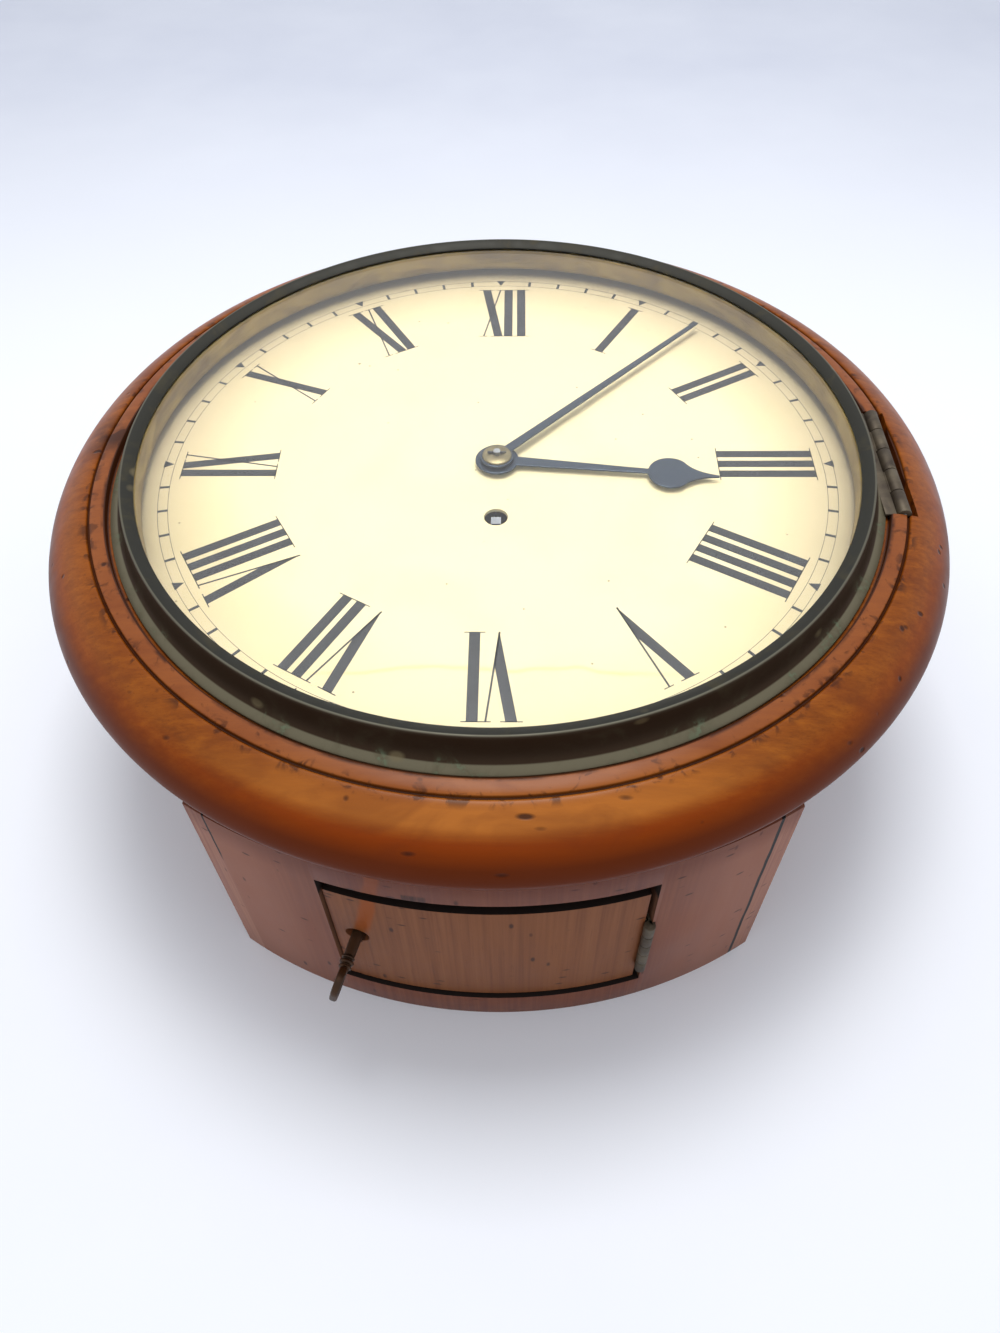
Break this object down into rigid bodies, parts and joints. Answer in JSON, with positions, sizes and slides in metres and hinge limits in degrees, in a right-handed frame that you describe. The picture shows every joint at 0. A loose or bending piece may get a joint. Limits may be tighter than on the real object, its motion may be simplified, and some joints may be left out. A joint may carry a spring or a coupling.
{
  "type": "wall dial clock",
  "caption": "Round wall dial clock: turned wooden surround, hinged glazed brass bezel, painted dial, two hands, and a curved box with a lockable bottom door over a fusee movement.",
  "frame": {"origin": "on the dial's axis, in the plane of the case's back, which the clock lies on", "axes": "+Z out of the dial to the viewer, +Y to twelve o'clock, +X to three o'clock"},
  "size_m": [0.3896, 0.4015, 0.1642],
  "materials": {
    "mahogany": "satin wax polish with honey-brown highlights",
    "veneer": "dull mahogany veneer",
    "pine": "plain unpolished softwood",
    "dark_brass": "dark tarnished brass",
    "gilt_brass": "matt gilt brass",
    "brass": "brushed brass",
    "steel": "brushed steel",
    "blued_steel": "blued steel",
    "iron": "dark rusty iron",
    "dial_paint": "aged cream paint",
    "clear_glass": "clear flat glass",
    "gut": "twisted gut"
  },
  "bodies": {
    "case": {"surround": "mahogany", "surround_blocks": "pine", "case_side_left": "veneer", "case_side_right": "veneer", "case_top": "veneer", "curved_bottom": "veneer", "back_board": "pine", "case_pegs": "mahogany", "hanging_plate": "iron", "wood_screws": "steel", "door_stops": "pine", "jamb_leaf": "dark_brass", "door_hinge_pin": "dark_brass", "surround_leaf": "dark_brass", "bezel_hinge_pin": "dark_brass", "dial": "dial_paint", "dial_feet": "brass", "taper_pins": "steel", "minute_post": "steel", "front_plate": "brass", "back_plate": "brass", "plate_pillars": "brass", "barrel_arbor": "steel", "mainspring": "blued_steel", "setup_ratchet": "steel", "setup_click": "steel", "fusee_line": "gut", "back_cock": "brass"},
    "bezel_group": {"bezel": "dark_brass", "sight_ring": "gilt_brass", "glass": "clear_glass", "bezel_leaf": "dark_brass", "bezel_catch": "brass"},
    "door_group": {"bottom_door": "veneer", "door_leaf": "dark_brass", "lock_case": "dark_brass"},
    "key_group": {"door_key": "iron", "lock_tongue": "steel"},
    "minute_group": {"cannon_wheel": "brass", "minute_hand": "blued_steel", "hand_collet": "brass"},
    "motion_group": {"minute_wheel": "brass"},
    "hour_group": {"hour_wheel": "brass", "hour_hand": "blued_steel"},
    "centre_group": {"centre_arbor": "steel", "centre_wheel": "brass", "hand_pin": "steel"},
    "great_group": {"great_wheel": "brass"},
    "third_group": {"third_wheel": "brass"},
    "escape_group": {"escape_wheel": "brass"},
    "fusee_group": {"fusee": "brass", "fusee_arbor": "steel"},
    "barrel_group": {"spring_barrel": "brass"},
    "anchor_group": {"pallets": "steel", "crutch": "steel"},
    "pendulum_group": {"suspension_spring": "blued_steel", "pendulum_rod": "steel", "pendulum_bob": "brass", "rating_nut": "brass"}
  },
  "joints": [
    {"name": "bezel_swing", "type": "hinge", "parent": "case", "child": "bezel_group", "pos_m": [0.1665, -0.006, 0.1514], "axis": [0, 1, 0], "range_deg": [0, 100]},
    {"name": "door_swing", "type": "hinge", "parent": "case", "child": "door_group", "pos_m": [0.06005, -0.18114, 0.052], "axis": [0, 0, 1], "range_deg": [0, 100]},
    {"name": "key_turn", "type": "hinge", "parent": "door_group", "child": "key_group", "pos_m": [-0.0514, -0.17277, 0.0614], "axis": [-0.2573, -0.9663, 0], "range_deg": [0, 90]},
    {"name": "hand_setting", "type": "hinge", "parent": "case", "child": "minute_group", "pos_m": [0, 0, 0.14], "axis": [0, 0, 1], "continuous": true},
    {"name": "motion_wheel_turn", "type": "hinge", "parent": "case", "child": "motion_group", "pos_m": [0.01556, 0.01556, 0.124], "axis": [0, 0, 1], "continuous": true},
    {"name": "hour_turn", "type": "hinge", "parent": "case", "child": "hour_group", "pos_m": [0, 0, 0.14], "axis": [0, 0, 1], "continuous": true},
    {"name": "escape_turn", "type": "hinge", "parent": "case", "child": "escape_group", "pos_m": [0, 0.02972, 0.096], "axis": [0, 0, 1], "continuous": true},
    {"name": "third_turn", "type": "hinge", "parent": "case", "child": "third_group", "pos_m": [-0.01838, 0.01838, 0.096], "axis": [0, 0, 1], "continuous": true},
    {"name": "centre_turn", "type": "hinge", "parent": "case", "child": "centre_group", "pos_m": [0, 0, 0.096], "axis": [0, 0, 1], "continuous": true},
    {"name": "great_turn", "type": "hinge", "parent": "case", "child": "great_group", "pos_m": [0, -0.03349, 0.082], "axis": [0, 0, 1], "continuous": true},
    {"name": "winding", "type": "hinge", "parent": "case", "child": "fusee_group", "pos_m": [0, -0.03349, 0.098], "axis": [0, 0, 1], "continuous": true},
    {"name": "barrel_turn", "type": "hinge", "parent": "case", "child": "barrel_group", "pos_m": [-0.056, -0.042, 0.096], "axis": [0, 0, 1], "continuous": true},
    {"name": "pendulum_swing", "type": "hinge", "parent": "case", "child": "pendulum_group", "pos_m": [0, 0.062, 0.062], "axis": [0, 0, 1], "range_deg": [-2.5, 2.5]},
    {"name": "anchor_rock", "type": "hinge", "parent": "case", "child": "anchor_group", "pos_m": [0, 0.062, 0.09], "axis": [0, 0, 1], "range_deg": [-2.5, 2.5]}
  ],
  "couplings": [
    {"joint": "motion_wheel_turn", "follows": "hand_setting", "ratio": -1},
    {"joint": "hour_turn", "follows": "hand_setting", "ratio": 0.083333},
    {"joint": "third_turn", "follows": "escape_turn", "ratio": -0.090909},
    {"joint": "centre_turn", "follows": "escape_turn", "ratio": 0.0075758},
    {"joint": "great_turn", "follows": "escape_turn", "ratio": -0.00063131},
    {"joint": "barrel_turn", "follows": "winding", "ratio": 0.4907},
    {"joint": "anchor_rock", "follows": "pendulum_swing", "ratio": 1}
  ]
}
